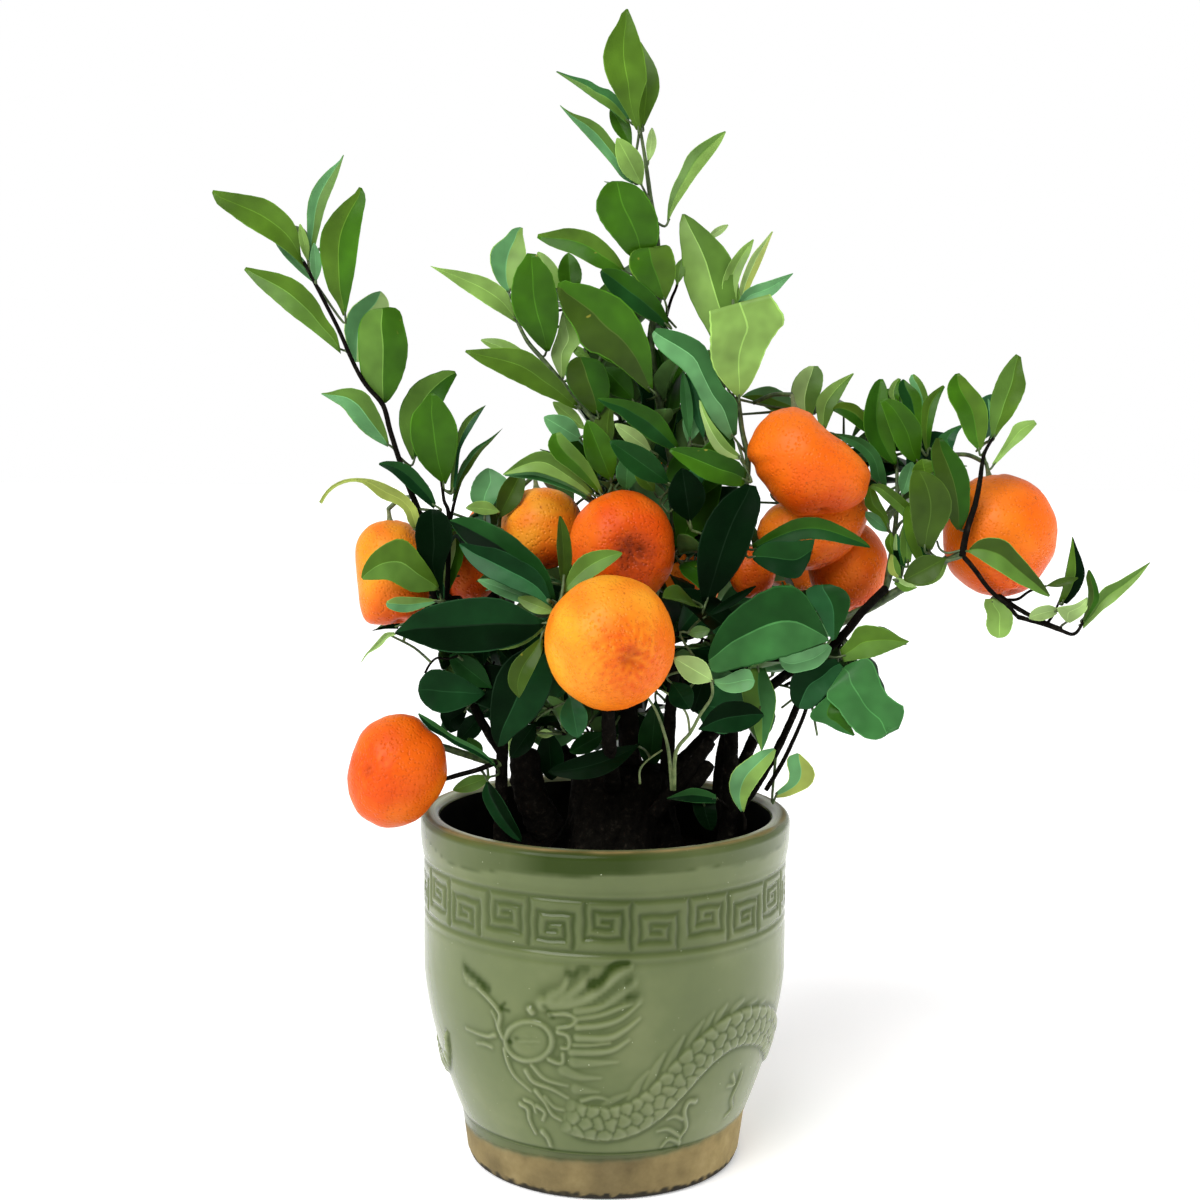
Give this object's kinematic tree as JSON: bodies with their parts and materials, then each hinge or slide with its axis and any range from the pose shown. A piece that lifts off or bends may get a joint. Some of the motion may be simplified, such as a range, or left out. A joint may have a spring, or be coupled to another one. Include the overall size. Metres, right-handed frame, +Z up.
{
  "type": "potted mandarin orange tree",
  "caption": "Small mandarin orange tree with orange fruit, growing on a pruned trunk and slender stems in a round glazed pot.",
  "frame": {"origin": "centre of the pot's flat underside, which stands on the floor", "axes": "+Z up, +X to the right of someone who faces the tree's front, +Y away from them"},
  "size_m": [0.4941, 0.28, 0.607],
  "materials": {
    "glazed_stoneware": "gloss",
    "potting_soil": "matte",
    "bark": "matte",
    "green_bark": "satin",
    "foliage": "satin"
  },
  "bodies": {
    "root": {"bough_back": "bark", "bough_back_left": "bark", "bough_back_right": "bark", "bough_centre": "bark", "bough_front": "bark", "bough_left": "bark", "bough_left_side": "green_bark", "bough_right": "bark", "bough_right_hanging": "green_bark", "foliage_back": "foliage", "foliage_back_left": "foliage", "foliage_back_right": "foliage", "foliage_back_upper": "foliage", "foliage_centre": "foliage", "foliage_centre_left": "foliage", "foliage_centre_right": "foliage", "foliage_centre_tip": "foliage", "foliage_centre_upper": "foliage", "foliage_core": "foliage", "foliage_front": "foliage", "foliage_front_left": "foliage", "foliage_front_right": "foliage", "foliage_hanging_left": "foliage", "foliage_left": "foliage", "foliage_left_leader": "foliage", "foliage_left_tip": "foliage", "foliage_low_left": "foliage", "foliage_low_right": "foliage", "foliage_middle": "foliage", "foliage_right": "foliage", "foliage_right_bough": "foliage", "foliage_right_tip": "foliage", "foliage_right_upper": "foliage", "pot": "glazed_stoneware", "soil": "potting_soil", "stem_left": "bark", "stem_middle": "bark", "stem_right": "bark", "stem_right_leaning": "bark", "stem_right_slim": "bark", "stub_left": "bark", "stub_right": "bark", "stub_short": "bark", "trunk": "bark"}
  },
  "joints": []
}
